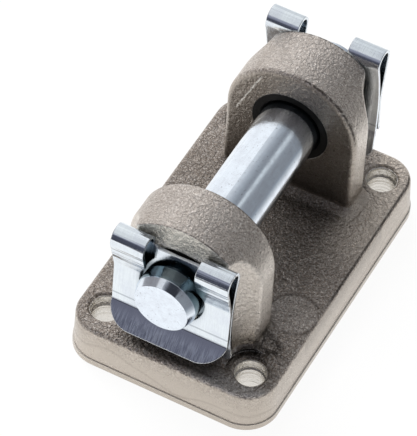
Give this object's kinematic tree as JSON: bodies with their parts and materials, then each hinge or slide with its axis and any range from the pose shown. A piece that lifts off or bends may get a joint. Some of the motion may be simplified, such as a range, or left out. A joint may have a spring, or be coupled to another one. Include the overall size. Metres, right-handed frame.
{
  "type": "cylinder rear clevis mount",
  "caption": "Cast clevis mount for the rear end cap of a pneumatic cylinder, with a plated pin in black bushes held by folded spring clips.",
  "frame": {"origin": "centre of the flat mounting face", "axes": "+Z away from the cylinder, from the mounting face to the pin; +Y along the pin; +X across the pin"},
  "size_m": [0.035, 0.0572, 0.0333],
  "materials": {
    "cast_aluminium": "blasted die casting, warm grey",
    "plated_pin": "ground steel, bright zinc plated",
    "plated_spring_steel": "bright zinc plated spring steel strip",
    "bush_polymer": "moulded black polymer"
  },
  "bodies": {
    "clevis": {"clevis_body": "cast_aluminium", "bush_front": "bush_polymer", "bush_rear": "bush_polymer", "clip_front": "plated_spring_steel", "clip_rear": "plated_spring_steel"},
    "pin": {"clevis_pin": "plated_pin"}
  },
  "joints": [
    {"name": "pin_turn", "type": "hinge", "parent": "clevis", "child": "pin", "pos_m": [0, 0, 0.022], "axis": [0, 1, 0], "continuous": true}
  ]
}
